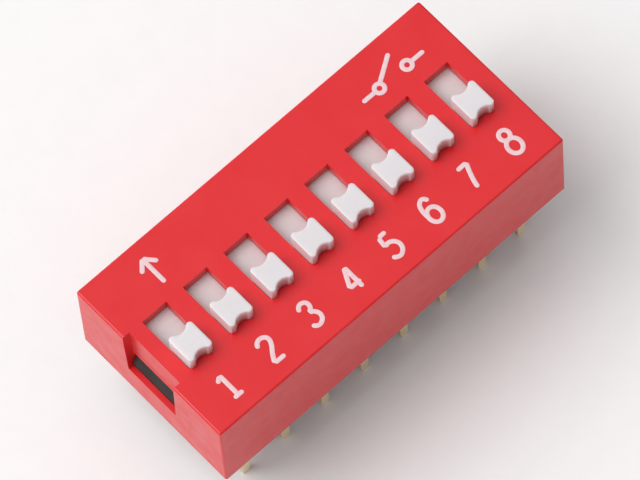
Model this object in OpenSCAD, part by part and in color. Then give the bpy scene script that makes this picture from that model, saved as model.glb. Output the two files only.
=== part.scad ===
// Slide-actuated switch array in a dual in-line package, for a printed circuit board.
// X runs along the row from switch 1, +Y is the side that closes a circuit, Z = 0 is the
// seating plane on the board, and the pins reach below it. Every slider is drawn open,
// at the -Y end of its slot, and slides towards +Y by travel.

/* [Package] */
// Number of switches in the row
positions = 8; // [2:1:12]
// Distance from one switch to the next
pitch = 2.54; // [2.3:0.01:3.1]
// Distance between the two rows of pins
row_spacing = 7.62; // [6.6:0.01:9.2]
// Cover length beyond the centre of the first and the last switch
end_margin = 1.96; // [1.8:0.01:2.5]
// Cover width beyond the centre of each row of pins
side_margin = 1.17; // [1.05:0.01:1.5]
// Height of the cover's top above the board
cover_h = 5.38; // [4.8:0.01:7]

/* [Cover] */
// Thickness of the top wall that the sliders work through
roof_t = 0.6; // [0.4:0.01:0.8]
// Thickness of the two long walls
side_wall = 0.6; // [0.5:0.01:0.7]
// Thickness of the two end walls
end_wall = 0.75; // [0.7:0.01:0.9]
// Radius of the upright outer edges
corner_r = 0.12; // [0.05:0.01:0.5]
// Radius of the edges around the top face
rim_r = 0.2; // [0.05:0.01:0.3]

/* [Notch and latches] */
// Width of the switch 1 end notch at the top face
notch_w = 3.5; // [2.5:0.05:4.4]
// How much narrower each side of the notch is at its floor
notch_draft = 0.1; // [0:0.01:0.3]
// Depth of the notch into the end wall
notch_d = 0.43; // [0.3:0.01:0.5]
// Height of the notch floor and the latch sills above the board
sill_z = 2; // [1.5:0.05:2.4]
// Height of the latch windows
window_h = 1.2; // [0.8:0.05:1.4]
// How far the latch windows are inset from each side of the notch floor
window_inset = 0.03; // [0:0.01:0.3]
// How far the latch noses stand out of their window
latch_proud = 0.15; // [0:0.01:0.18]
// Height of the upright lip at the foot of each latch nose
latch_lip = 0.4; // [0.1:0.01:0.5]

/* [Slider] */
// Distance that a slider travels
travel = 2; // [1.4:0.01:2.2]
// Distance of the slots' middle from the cover's middle, towards +Y
slot_y = 0.14; // [0:0.01:0.3]
// Knob width along the row
knob_w = 1.44; // [1.1:0.01:1.6]
// Knob length along the slot
knob_l = 1.61; // [1.3:0.01:1.9]
// Knob height above the cover
knob_h = 0.92; // [0.5:0.01:1.4]
// Depth of the finger grooves in the knob's two ends
groove_d = 0.24; // [0.15:0.01:0.35]
// Width of the horns beside the finger grooves
horn_w = 0.2; // [0.15:0.01:0.25]
// Radius of the knob's upright corners
horn_r = 0.1; // [0.03:0.01:0.15]
// How far the stem in the slot is set back behind the finger grooves
stem_inset = 0.02; // [0:0.01:0.1]
// How far the plate reaches past each side of the slot
plate_lip = 0.11; // [0.08:0.01:0.2]
// Thickness of the plate under the cover
plate_t = 0.7; // [0.5:0.05:0.9]
// Height of the whole slider below the cover's top wall
slider_h = 2.5; // [2.1:0.05:2.7]
// Width of each of the two rails under the plate
rail_w = 0.28; // [0.2:0.01:0.32]
// How far the plate overhangs its rails at each end
rail_relief = 0.5; // [0.2:0.05:0.8]
// How far the plate still reaches past the slot's end at both ends of its travel
plate_lap = 0.1; // [0.05:0.01:0.25]

/* [Contact spring] */
// Strip thickness
strip_t = 0.1; // [0.08:0.01:0.15]
// Clearance between the strip and each rail
strip_clear = 0.12; // [0.05:0.01:0.2]
// Distance from the strip's middle to each foot
foot_y = 1; // [0.85:0.01:1.2]
// Half length of the flat middle of the strip
flat_y = 0.5; // [0.4:0.01:0.6]
// Width of the slit that splits each arm into two fingers
slit_w = 0.16; // [0.1:0.01:0.25]
// Rise of the upturned end beyond each foot
toe_rise = 0.45; // [0.2:0.05:0.7]
// Diameter of the peg that holds the strip
peg_d = 0.4; // [0.3:0.01:0.5]
// Diameter of the peg's staked head
peg_head_d = 0.66; // [0.55:0.01:0.8]
// Thickness of the peg's staked head
peg_head_t = 0.1; // [0.05:0.01:0.15]

/* [Terminals] */
// Width of a pin along the row
pin_w = 0.5; // [0.4:0.01:0.6]
// Thickness of the terminal sheet
pin_t = 0.25; // [0.2:0.01:0.3]
// Length of a pin below the seating plane
pin_l = 4.1; // [3:0.05:5]
// Length of the narrowed end of a pin
tip_l = 0.3; // [0.1:0.05:0.5]
// How much narrower each side of a pin is at its end
tip_in = 0.08; // [0:0.01:0.12]
// Width of a contact pad along the row
pad_w = 0.96; // [0.9:0.01:1.05]
// Distance between the two pads of one switch
pad_gap = 0.8; // [0.4:0.05:1.1]

/* [Base] */
// Height of the base's underside above the seating plane
base_rise = 0.2; // [0.1:0.05:0.4]
// How far each channel runs past the outer faces of the pins
channel_over = 0.1; // [0.05:0.01:0.15]
// Length of the well around each pin along the row
well_l = 1.2; // [0.9:0.05:1.6]
// Width of the well around each pin across the row
well_w = 0.7; // [0.5:0.05:0.8]
// Depth of the wells in the underside
well_d = 0.15; // [0.05:0.01:0.3]

/* [Fit] */
// Clearance between a stem and each end of its slot
end_clear = 0.04; // [0.02:0.01:0.1]
// Clearance between a knob and each side of its slot
side_clear = 0.03; // [0.02:0.01:0.1]
// Clearance between the overhanging ends of a knob and the cover's top
knob_clear = 0.03; // [0.02:0.01:0.1]
// Clearance around a slider in its channel
slide_clear = 0.03; // [0.02:0.01:0.08]
// Clearance between the base and the cover's walls, and around its latches
base_clear = 0.02; // [0.01:0.01:0.05]
// Clearance at the tip of the far latch nose in its blind pocket
pocket_clear = 0.06; // [0.02:0.01:0.1]
// Clearance between the peg and the hole in the strip
peg_clear = 0.02; // [0.01:0.01:0.04]

/* [Hidden] */

// A cut runs this far past the face that it opens.
through = 1;

cover_l = (positions - 1) * pitch + 2 * end_margin;
cover_w = row_spacing + 2 * side_margin;
cavity_l = cover_l - 2 * end_wall;
cavity_w = cover_w - 2 * side_wall;
roof_z = cover_h - roof_t;
slot_w = knob_w + 2 * side_clear;
stem_l = knob_l - 2 * (groove_d + stem_inset);
slot_l = stem_l + travel + 2 * end_clear;
sill_w = notch_w - 2 * notch_draft;
window_w = sill_w - 2 * window_inset;
window_top = sill_z + window_h;

base_l = cavity_l - 2 * base_clear;
base_w = cavity_w - 2 * base_clear;
latch_w = window_w - 2 * base_clear;
latch_reach = end_wall - notch_d + base_clear + latch_proud;
pocket_d = latch_reach - base_clear + pocket_clear;
floor_z = roof_z - slider_h - 2 * slide_clear;

plate_top = roof_z - slide_clear;
plate_under = plate_top - plate_t;
plate_w = slot_w + 2 * plate_lip;
plate_l = slot_l + travel + 2 * plate_lap;
rail_l = plate_l - 2 * rail_relief;
rest_y = slot_y - travel / 2;
groove_w = knob_w - 2 * horn_w;
groove_r = (pow(groove_w / 2, 2) + pow(groove_d, 2)) / (2 * groove_d);

// A channel holds the pads and the plate's whole sweep, whichever is longer.
pad_outer_y = (row_spacing + pin_t) / 2;
channel_w = plate_w + 2 * slide_clear;
channel_l = max(
    2 * (pad_outer_y + channel_over),
    plate_l + travel + 2 * (slide_clear + abs(slot_y))
);

// The gap between the pads lies midway between the two places of the strip's rear foot.
// Each pad's end is measured from the middle towards that pad's own row of pins.
gap_y = slot_y + foot_y;
front_pad_end = pad_gap / 2 - gap_y;
rear_pad_end = pad_gap / 2 + gap_y;
strip_w = plate_w - 2 * rail_w - 2 * strip_clear;
toe_run = 0.2;
foot_r = 0.12;
strip_top_z = plate_under - strip_t / 2;
strip_foot_z = floor_z + slide_clear + strip_t / 2;

// Centre of switch i along the row, counted from 1.
function switch_x(i) = (i - (positions + 1) / 2) * pitch;

// Centreline of the strip's +Y half, from its middle to the end of its toe.
strip_path = [
    [0, strip_top_z],
    [flat_y, strip_top_z],
    [foot_y - foot_r, strip_foot_z + foot_r / 2],
    [foot_y, strip_foot_z],
    [foot_y + foot_r, strip_foot_z + foot_r / 2],
    [foot_y + toe_run, strip_foot_z + toe_rise],
];

// A box centred on X and Y that stands on z.
module block(size, z) {
    translate([-size.x / 2, -size.y / 2, z])
        cube(size);
}

// A square with round corners, centred.
module round_square(size, r) {
    square([size.x - 2 * r, size.y], center = true);
    square([size.x, size.y - 2 * r], center = true);
    for (x = [-1, 1], y = [-1, 1])
        translate([x * (size.x / 2 - r), y * (size.y / 2 - r)])
            circle(r, $fn = 32);
}

// An upright section, width by height, square at the foot and round at its top corners.
module crowned_square(w, h, r) {
    translate([-w / 2, 0])
        square([w, h - r]);
    translate([-w / 2 + r, 0])
        square([w - 2 * r, h]);
    for (x = [-1, 1])
        translate([x * (w / 2 - r), h - r])
            circle(r, $fn = 32);
}

// Lays a section drawn in X and Z out along Y, to both sides of the centre.
module along_y(l) {
    rotate([90, 0, 0])
        linear_extrude(l, center = true)
            children();
}

// Lays a section drawn in Y and Z out along X, to both sides of the centre.
module along_x(l) {
    rotate([90, 0, 90])
        linear_extrude(l, center = true)
            children();
}

// Puts a child at the centre of every switch.
module each_switch() {
    for (i = [1:positions])
        translate([switch_x(i), 0, 0])
            children();
}

// The outside of the cover, with its upright corners and top edges rounded.
module cover_form() {
    intersection() {
        linear_extrude(cover_h)
            round_square([cover_l, cover_w], corner_r);
        along_x(cover_l)
            crowned_square(cover_w, cover_h, rim_r);
        along_y(cover_w)
            crowned_square(cover_l, cover_h, rim_r);
    }
}

// The open-topped recess in the switch 1 end, narrower towards its floor.
module end_notch() {
    rise = cover_h - sill_z;
    translate([-cover_l / 2 + notch_d - through / 2, 0, sill_z])
        along_x(through)
            polygon([
                [-sill_w / 2, 0],
                [sill_w / 2, 0],
                [notch_w / 2, rise],
                [notch_w / 2, rise + through],
                [-notch_w / 2, rise + through],
                [-notch_w / 2, rise],
            ]);
}

// The cover: hollow from below, with a slot for each knob and a latch at each end.
module cover() {
    color([0.86, 0.09, 0.11])
        difference() {
            cover_form();
            block([cavity_l, cavity_w, roof_z + through], -through);
            each_switch()
                translate([0, slot_y, 0])
                    block([slot_w, slot_l, roof_t + 2 * through], roof_z - through);
            end_notch();
            translate([-cavity_l / 2, 0, 0])
                block([2 * (end_wall - notch_d) + through, window_w, window_h], sill_z);
            translate([cavity_l / 2, 0, 0])
                block([2 * pocket_d, window_w, window_h], sill_z);
        }
}

// A snap nose that stands out in +X by latch_reach, sloped from its top down to a lip.
module latch_nose() {
    foot = sill_z + base_clear;
    top = window_top - base_clear;
    along_y(latch_w)
        polygon([
            [0, foot],
            [latch_reach, foot],
            [latch_reach, foot + latch_lip],
            [pin_t / 2, top],
            [0, top],
        ]);
}

// The base: a block with a channel for each slider, moulded around the terminals.
module base() {
    color([0.13, 0.12, 0.12])
        difference() {
            union() {
                block([base_l, base_w, roof_z - base_rise], base_rise);
                for (end = [0, 1])
                    mirror([end, 0, 0])
                        translate([base_l / 2, 0, 0])
                            latch_nose();
            }
            each_switch() {
                block([channel_w, channel_l, roof_z], floor_z);
                for (side = [0, 1])
                    mirror([0, side, 0])
                        pin_cuts(side == 0 ? rear_pad_end : front_pad_end);
            }
        }
}

// The way through the base for one terminal on the +Y side, with the well around its pin.
module pin_cuts(pad_end) {
    translate([0, row_spacing / 2, 0]) {
        block([pin_w, pin_t, floor_z + through], -through);
        block([well_l, well_w, well_d + through], base_rise - through);
    }
    translate([-pad_w / 2, pad_end, floor_z - pin_t])
        cube([pad_w, pad_outer_y - pad_end, pin_t + through]);
}

// One bent terminal on the +Y side: pin, bend, and a pad that ends at pad_end.
module terminal(pad_end) {
    color([0.83, 0.68, 0.38]) {
        translate([0, row_spacing / 2, 0])
            along_y(pin_t)
                polygon([
                    [-pin_w / 2 + tip_in, -pin_l],
                    [pin_w / 2 - tip_in, -pin_l],
                    [pin_w / 2, tip_l - pin_l],
                    [pin_w / 2, floor_z - pin_t],
                    [-pin_w / 2, floor_z - pin_t],
                    [-pin_w / 2, tip_l - pin_l],
                ]);
        intersection() {
            translate([0, pad_outer_y - pin_t, floor_z - pin_t])
                rotate([0, 90, 0])
                    cylinder(h = pad_w, r = pin_t, center = true, $fn = 48);
            translate([-pad_w / 2, pad_outer_y - pin_t, floor_z - pin_t])
                cube([pad_w, pin_t, pin_t]);
        }
        translate([-pad_w / 2, pad_end, floor_z - pin_t])
            cube([pad_w, pad_outer_y - pin_t - pad_end, pin_t]);
    }
}

// Plan of a knob: round upright corners and a finger groove in each end.
module knob_plan() {
    difference() {
        round_square([knob_w, knob_l], horn_r);
        for (y = [-1, 1])
            translate([0, y * (knob_l / 2 - groove_d + groove_r)])
                circle(groove_r, $fn = 96);
    }
}

// One slider: a knob that overhangs its stem at both ends, the plate under the slot, two
// rails, and the peg that is staked under the strip.
module slider() {
    color([0.93, 0.93, 0.92])
        translate([0, rest_y, 0]) {
            translate([0, 0, cover_h + knob_clear])
                linear_extrude(knob_h - knob_clear)
                    knob_plan();
            block([knob_w, stem_l, cover_h + knob_clear - plate_top], plate_top);
            block([plate_w, plate_l, plate_t], plate_under);
            for (x = [-1, 1])
                translate([x * (plate_w - rail_w) / 2, 0, 0])
                    block([rail_w, rail_l, slider_h - plate_t], plate_top - slider_h);
            translate([0, 0, plate_under - strip_t])
                cylinder(h = strip_t, d = peg_d, $fn = 32);
            translate([0, 0, plate_under - strip_t - peg_head_t])
                cylinder(h = peg_head_t, d = peg_head_d, $fn = 32);
        }
}

// Section of the strip's +Y half: straight runs of the sheet joined by round bends.
module strip_half() {
    for (k = [0:len(strip_path) - 2]) {
        step = strip_path[k + 1] - strip_path[k];
        translate(strip_path[k])
            rotate(atan2(step.y, step.x))
                translate([0, -strip_t / 2])
                    square([norm(step), strip_t]);
    }
    for (k = [2:len(strip_path) - 1])
        translate(strip_path[k])
            circle(d = strip_t, $fn = 24);
}

// The bowed strip under one slider, with a hole for the peg and both arms slit.
module contact() {
    color([0.85, 0.66, 0.3])
        translate([0, rest_y, 0])
            difference() {
                along_x(strip_w)
                    for (side = [0, 1])
                        mirror([side, 0])
                            strip_half();
                translate([0, 0, strip_top_z])
                    cylinder(h = 2 * strip_t, d = peg_d + 2 * peg_clear, center = true, $fn = 32);
                for (side = [-1, 1])
                    translate([0, side * (flat_y + through), floor_z])
                        block([slit_w, 2 * through, slider_h], 0);
            }
}

cover();
base();
for (i = [1:positions])
    translate([switch_x(i), 0, 0]) {
        slider();
        contact();
        mirror([0, 1, 0]) terminal(front_pad_end);
        terminal(rear_pad_end);
    }
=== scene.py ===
"""Looks of an eight-way dual in-line slide switch, built round its CAD frame."""

import logging
import math
from collections.abc import Callable, Sequence
from dataclasses import dataclass, field
from enum import Enum

import bmesh
import bpy
from mathutils import Matrix, Vector


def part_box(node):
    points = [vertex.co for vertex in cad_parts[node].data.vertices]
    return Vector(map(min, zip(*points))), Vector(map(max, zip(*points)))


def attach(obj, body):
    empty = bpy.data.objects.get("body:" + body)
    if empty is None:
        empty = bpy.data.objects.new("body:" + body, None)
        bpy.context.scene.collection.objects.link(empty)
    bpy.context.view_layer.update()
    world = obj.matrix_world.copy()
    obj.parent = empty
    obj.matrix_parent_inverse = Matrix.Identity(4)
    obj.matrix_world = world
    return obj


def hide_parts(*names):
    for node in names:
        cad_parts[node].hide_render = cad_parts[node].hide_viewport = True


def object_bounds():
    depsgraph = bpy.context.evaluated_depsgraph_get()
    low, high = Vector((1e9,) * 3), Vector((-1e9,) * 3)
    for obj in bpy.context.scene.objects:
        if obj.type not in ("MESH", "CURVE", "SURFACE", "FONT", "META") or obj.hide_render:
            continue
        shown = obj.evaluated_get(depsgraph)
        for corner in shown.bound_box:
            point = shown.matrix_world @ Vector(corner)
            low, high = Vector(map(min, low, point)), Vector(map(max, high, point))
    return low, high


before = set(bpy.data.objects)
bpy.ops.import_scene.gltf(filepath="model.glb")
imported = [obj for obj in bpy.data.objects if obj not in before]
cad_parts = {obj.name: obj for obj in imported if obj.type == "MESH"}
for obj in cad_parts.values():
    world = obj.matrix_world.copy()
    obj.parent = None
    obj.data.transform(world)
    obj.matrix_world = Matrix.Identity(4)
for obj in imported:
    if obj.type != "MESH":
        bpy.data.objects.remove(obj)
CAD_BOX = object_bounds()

LOG = logging.getLogger("dip_switch")
MM = 0.001
MERGE_MM = 1e-4
PAST_MM = 1.0
BITE_MM = 0.2
FLAT_DEG = 0.4
SMOOTH_DEG = 40.0

Point = tuple[float, float]
Colour = tuple[float, float, float]
Feed = float | int | tuple | bpy.types.NodeSocket
Entry = bpy.types.NodeOutputs
Leave = bpy.types.NodeInputs


class Slot(Enum):
    """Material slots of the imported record."""

    COVER = "cover_red"
    BASE = "base_black"
    SLIDER = "slider_white"
    CONTACT = "contact_gold"
    TERMINAL = "terminal_gold"
    INK = "legend_ink"


class Body(Enum):
    """Bodies whose name doesn't count up with the switches."""

    HOUSING = "housing"


class Side(Enum):
    """The two rows of pins, by the side of the package that they stand on."""

    FRONT = "front"
    REAR = "rear"


def switch_body(number: int) -> str:
    """Name of the body that carries the slider of a switch, counted from 1."""
    return f"switch_{number}"


def rgba(colour: Colour) -> tuple[float, float, float, float]:
    """A colour with full alpha, as colour sockets take it."""
    return (*colour, 1.0)


# ---------------------------------------------------------------------------
# Node trees
# ---------------------------------------------------------------------------


class NodeSheet:
    """Adds nodes to one tree and joins their sockets."""

    def __init__(self, tree: bpy.types.NodeTree) -> None:
        """Keeps the tree that the nodes go in."""
        self.tree = tree

    def feed(self, socket: bpy.types.NodeSocket, value: Feed) -> None:
        """Gives a socket a constant, or links it to another node's output.

        Args:
            socket: The input that takes the value.
            value: A number, a tuple, or an output socket.
        """
        if isinstance(value, bpy.types.NodeSocket):
            self.tree.links.new(value, socket)
        else:
            socket.default_value = value

    def add(
        self,
        kind: str,
        inputs: dict[str | int, Feed] | None = None,
        **settings: object,
    ) -> bpy.types.Node:
        """Adds a node.

        Args:
            kind: The node's type name.
            inputs: What each input takes, by socket name or number.
            **settings: The node's own properties.

        Returns:
            The new node.
        """
        node = self.tree.nodes.new(kind)
        for name, value in settings.items():
            setattr(node, name, value)
        for key, value in (inputs or {}).items():
            self.feed(node.inputs[key], value)
        return node

    def math(
        self, operation: str, a: Feed, b: Feed = 0.0, clamp: bool = False
    ) -> bpy.types.NodeSocket:
        """Adds a Math node.

        Args:
            operation: The sum that it does.
            a: First operand.
            b: Second operand.
            clamp: Whether the result is kept from 0 to 1.

        Returns:
            Its output.
        """
        node = self.add(
            "ShaderNodeMath", {0: a, 1: b}, operation=operation, use_clamp=clamp
        )
        return node.outputs[0]

    def vector_math(self, operation: str, a: Feed, b: Feed) -> bpy.types.Node:
        """Adds a Vector Math node on two operands and returns it."""
        return self.add("ShaderNodeVectorMath", {0: a, 1: b}, operation=operation)

    def mix(
        self, factor: Feed, a: Feed, b: Feed, blend: str = "MIX"
    ) -> bpy.types.NodeSocket:
        """Adds a colour Mix node.

        Args:
            factor: Share of b.
            a: First colour.
            b: Second colour.
            blend: How b is laid over a.

        Returns:
            The mixed colour.
        """
        node = self.add("ShaderNodeMix", data_type="RGBA", blend_type=blend)
        self.feed(node.inputs[0], factor)
        self.feed(node.inputs[6], a)
        self.feed(node.inputs[7], b)
        return node.outputs[2]

    def spread(
        self, value: Feed, low: Feed, high: Feed, to_low: Feed, to_high: Feed
    ) -> bpy.types.NodeSocket:
        """Maps a range of values to another, kept inside it.

        Args:
            value: What is mapped.
            low: Value that becomes to_low.
            high: Value that becomes to_high.
            to_low: Result at low.
            to_high: Result at high.

        Returns:
            The mapped value.
        """
        node = self.add(
            "ShaderNodeMapRange", {0: value, 1: low, 2: high, 3: to_low, 4: to_high}
        )
        return node.outputs[0]

    def noise(
        self, vector: Feed, scale: Feed, detail: float = 2.0, roughness: float = 0.5
    ) -> bpy.types.NodeSocket:
        """Adds a Noise Texture.

        Args:
            vector: Where it is read.
            scale: Features per metre.
            detail: Number of finer layers.
            roughness: Strength of the finer layers.

        Returns:
            Its value, from 0 to 1.
        """
        node = self.add(
            "ShaderNodeTexNoise",
            {"Scale": scale, "Detail": detail, "Roughness": roughness},
        )
        self.feed(node.inputs["Vector"], vector)
        return node.outputs["Fac"]

    def place(self) -> bpy.types.NodeSocket:
        """Where a point of the surface is, in the piece's own metres."""
        return self.add("ShaderNodeTexCoord").outputs["Object"]

    def normal(self) -> bpy.types.NodeSocket:
        """Which way the surface faces."""
        return self.add("ShaderNodeNewGeometry").outputs["Normal"]

    def along(self, vector: Feed, axis: str) -> bpy.types.NodeSocket:
        """A vector's share along X, Y or Z."""
        return self.add("ShaderNodeSeparateXYZ", {0: vector}).outputs[axis]

    def density(self, size: Feed) -> bpy.types.NodeSocket:
        """How many features of a size fit in a metre."""
        return self.math("DIVIDE", 1.0, size)


@dataclass(frozen=True)
class SocketPlan:
    """One named socket of a node group."""

    name: str
    kind: str = "NodeSocketFloat"
    default: float | tuple | None = None


class ToolGroup:
    """A node group with named inputs and outputs, built once and then reused."""

    name = ""
    tree_type = "ShaderNodeTree"
    inputs: tuple[SocketPlan, ...] = ()
    outputs: tuple[SocketPlan, ...] = ()

    @classmethod
    def tree(cls) -> bpy.types.NodeTree:
        """Finds the group's tree, or builds it the first time.

        Returns:
            The tree.
        """
        found = bpy.data.node_groups.get(cls.name)
        if found is not None:
            return found
        tree = bpy.data.node_groups.new(cls.name, cls.tree_type)
        for direction, plans in (("INPUT", cls.inputs), ("OUTPUT", cls.outputs)):
            for plan in plans:
                socket = tree.interface.new_socket(
                    name=plan.name, in_out=direction, socket_type=plan.kind
                )
                if plan.default is not None:
                    socket.default_value = plan.default
        sheet = NodeSheet(tree)
        entry = sheet.add("NodeGroupInput").outputs
        leave = sheet.add("NodeGroupOutput").inputs
        cls.wire(sheet, entry, leave)
        return tree

    @classmethod
    def wire(cls, sheet: NodeSheet, entry: Entry, leave: Leave) -> None:
        """Adds the group's nodes.

        Args:
            sheet: Where the nodes go.
            entry: The group's inputs.
            leave: The group's outputs.
        """
        raise NotImplementedError

    @classmethod
    def on(cls, sheet: NodeSheet, **values: Feed) -> bpy.types.NodeOutputs:
        """Places the group in a material.

        Args:
            sheet: The material's nodes.
            **values: Inputs by name, with an underscore for a space.

        Returns:
            The placed group's outputs.
        """
        node = sheet.add("ShaderNodeGroup", node_tree=cls.tree())
        for name, value in values.items():
            sheet.feed(node.inputs[name.replace("_", " ")], value)
        return node.outputs


class MouldGrain(ToolGroup):
    """The fine spark-eroded texture that a mould leaves on plastic."""

    name = "Mould grain"
    inputs = (
        SocketPlan("Grain size", default=0.00006),
        SocketPlan("Pit share", default=0.35),
    )
    outputs = (SocketPlan("Height"), SocketPlan("Gloss patch"))

    @classmethod
    def wire(cls, sheet: NodeSheet, entry: Entry, leave: Leave) -> None:
        """Adds the group's nodes.

        Args:
            sheet: Where the nodes go.
            entry: Grain size and pit share.
            leave: Height and gloss patch.
        """
        place = sheet.place()
        density = sheet.density(entry["Grain size"])
        grain = sheet.noise(place, density, 3.0, 0.55)
        pits = sheet.add(
            "ShaderNodeTexVoronoi",
            {"Vector": place, "Scale": sheet.math("MULTIPLY", density, 0.7)},
            feature="SMOOTH_F1",
        ).outputs["Distance"]
        pitted = sheet.math("MULTIPLY", pits, entry["Pit share"])
        sheet.feed(leave["Height"], sheet.math("ADD", grain, pitted))
        patch = sheet.noise(place, sheet.math("MULTIPLY", density, 0.06), 3.0, 0.6)
        sheet.feed(
            leave["Gloss patch"], sheet.spread(patch, 0.32, 0.68, 0.0, 1.0)
        )


class EdgeWear(ToolGroup):
    """Where handling has rubbed the outer edges."""

    name = "Edge wear"
    inputs = (
        SocketPlan("Radius", default=0.00005),
        SocketPlan("Breakup size", default=0.0004),
        SocketPlan("Gain", default=4.0),
    )
    outputs = (SocketPlan("Mask"),)

    @classmethod
    def wire(cls, sheet: NodeSheet, entry: Entry, leave: Leave) -> None:
        """Adds the group's nodes.

        Args:
            sheet: Where the nodes go.
            entry: Radius, breakup size and gain.
            leave: Mask.
        """
        rounded = sheet.add(
            "ShaderNodeBevel", {"Radius": entry["Radius"]}, samples=4
        ).outputs[0]
        agree = sheet.vector_math("DOT_PRODUCT", rounded, sheet.normal())
        bend = sheet.math("SUBTRACT", 1.0, agree.outputs["Value"], clamp=True)
        breakup = sheet.noise(
            sheet.place(), sheet.density(entry["Breakup size"]), 4.0, 0.6
        )
        worn = sheet.math(
            "MULTIPLY",
            sheet.math("MULTIPLY", bend, entry["Gain"]),
            sheet.spread(breakup, 0.35, 0.65, 0.25, 1.0),
            clamp=True,
        )
        sheet.feed(leave["Mask"], worn)


class ToneDrift(ToolGroup):
    """The slow change of tone that melt flow and pigment leave."""

    name = "Tone drift"
    inputs = (
        SocketPlan("Color", "NodeSocketColor", (0.8, 0.8, 0.8, 1.0)),
        SocketPlan("Patch size", default=0.003),
        SocketPlan("Strength", default=0.05),
    )
    outputs = (SocketPlan("Color", "NodeSocketColor"),)

    @classmethod
    def wire(cls, sheet: NodeSheet, entry: Entry, leave: Leave) -> None:
        """Adds the group's nodes.

        Args:
            sheet: Where the nodes go.
            entry: Color, patch size and strength.
            leave: Color.
        """
        patch = sheet.noise(
            sheet.place(), sheet.density(entry["Patch size"]), 4.0, 0.5
        )
        swing = sheet.math(
            "MULTIPLY",
            sheet.spread(patch, 0.3, 0.7, -1.0, 1.0),
            entry["Strength"],
        )
        lit = sheet.add(
            "ShaderNodeHueSaturation",
            {
                "Saturation": sheet.math(
                    "SUBTRACT", 1.0, sheet.math("MULTIPLY", swing, 0.35)
                ),
                "Value": sheet.math("ADD", 1.0, swing),
                "Color": entry["Color"],
            },
        ).outputs["Color"]
        sheet.feed(leave["Color"], lit)


class Dust(ToolGroup):
    """Fine specks that settle on faces that look up."""

    name = "Settled dust"
    inputs = (
        SocketPlan("Speck size", default=0.0003),
        SocketPlan("Cover", default=0.1),
    )
    outputs = (SocketPlan("Mask"),)

    @classmethod
    def wire(cls, sheet: NodeSheet, entry: Entry, leave: Leave) -> None:
        """Adds the group's nodes.

        Args:
            sheet: Where the nodes go.
            entry: Speck size and cover.
            leave: Mask.
        """
        place = sheet.place()
        specks = sheet.add(
            "ShaderNodeTexVoronoi",
            {
                "Vector": place,
                "Scale": sheet.density(entry["Speck size"]),
                "Randomness": 1.0,
            },
        ).outputs["Distance"]
        near = sheet.spread(specks, 0.02, entry["Cover"], 1.0, 0.0)
        facing = sheet.spread(sheet.along(sheet.normal(), "Z"), 0.2, 0.9, 0.0, 1.0)
        sheet.feed(leave["Mask"], sheet.math("MULTIPLY", near, facing, clamp=True))


class RecessShade(ToolGroup):
    """Painted shade: a mask that darkens colour in tight corners and below a level, where
    shade falls.
    """

    name = "Painted recess shade"
    inputs = (
        SocketPlan("Reach", default=0.0006),
        SocketPlan("Breakup size", default=0.0005),
        SocketPlan("Level", default=-1.0),
        SocketPlan("Below share", default=0.0),
    )
    outputs = (SocketPlan("Mask"),)

    @classmethod
    def wire(cls, sheet: NodeSheet, entry: Entry, leave: Leave) -> None:
        """Adds the group's nodes.

        Args:
            sheet: Where the nodes go.
            entry: Reach, breakup size, level, and the share that is held below it.
            leave: Mask.
        """
        # Painted shade: ambient occlusion finds the tight corners, and everything below
        # the level takes the below share.
        open_share = sheet.add(
            "ShaderNodeAmbientOcclusion", {"Distance": entry["Reach"]}, samples=8
        ).outputs["AO"]
        breakup = sheet.noise(
            sheet.place(), sheet.density(entry["Breakup size"]), 3.0, 0.5
        )
        tight = sheet.spread(open_share, 0.1, 0.5, 1.0, 0.0)
        height = sheet.along(sheet.place(), "Z")
        sunk = sheet.math("LESS_THAN", height, entry["Level"])
        shaded = sheet.math(
            "MAXIMUM", tight, sheet.math("MULTIPLY", sunk, entry["Below share"])
        )
        patchy = sheet.spread(breakup, 0.3, 0.7, 0.8, 1.0)
        sheet.feed(leave["Mask"], sheet.math("MULTIPLY", shaded, patchy, clamp=True))


class StampLines(ToolGroup):
    """Rolling lines on sheet metal, and the rougher drag on its stamped edges."""

    name = "Stamp lines"
    inputs = (
        SocketPlan("Line size", default=0.00003),
        SocketPlan("Stretch", default=14.0),
    )
    outputs = (SocketPlan("Height"), SocketPlan("Cut face"))

    @classmethod
    def wire(cls, sheet: NodeSheet, entry: Entry, leave: Leave) -> None:
        """Adds the group's nodes.

        Args:
            sheet: Where the nodes go.
            entry: Line size and stretch.
            leave: Height and cut face.
        """
        squeeze = sheet.add(
            "ShaderNodeCombineXYZ",
            {0: 1.0, 1: 1.0, 2: sheet.density(entry["Stretch"])},
        ).outputs[0]
        drawn = sheet.vector_math("MULTIPLY", sheet.place(), squeeze).outputs[0]
        density = sheet.density(entry["Line size"])
        sheet.feed(leave["Height"], sheet.noise(drawn, density, 3.0, 0.6))
        across = sheet.math("ABSOLUTE", sheet.along(sheet.normal(), "X"))
        sheet.feed(leave["Cut face"], sheet.spread(across, 0.5, 0.8, 0.0, 1.0))


# ---------------------------------------------------------------------------
# Finishes
# ---------------------------------------------------------------------------


def new_material(name: str) -> tuple[bpy.types.Material, NodeSheet, bpy.types.Node]:
    """Starts a material.

    Args:
        name: Its name.

    Returns:
        The material, its node sheet, and its Principled shader.
    """
    material = bpy.data.materials.new(name)
    material.use_nodes = True
    tree = material.node_tree
    tree.nodes.clear()
    sheet = NodeSheet(tree)
    shader = sheet.add("ShaderNodeBsdfPrincipled")
    sheet.add("ShaderNodeOutputMaterial", {"Surface": shader.outputs[0]})
    return material, sheet, shader


def add_bump(
    sheet: NodeSheet, shader: bpy.types.Node, height: Feed, depth: float
) -> None:
    """Gives a shader a bump.

    Args:
        sheet: The material's nodes.
        shader: The shader that takes the normal.
        height: The height, from 0 to about 1.
        depth: How deep a height of 1 is, in metres.
    """
    bump = sheet.add("ShaderNodeBump", {"Strength": 1.0, "Distance": depth})
    sheet.feed(bump.inputs["Height"], height)
    sheet.feed(shader.inputs["Normal"], bump.outputs["Normal"])


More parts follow.
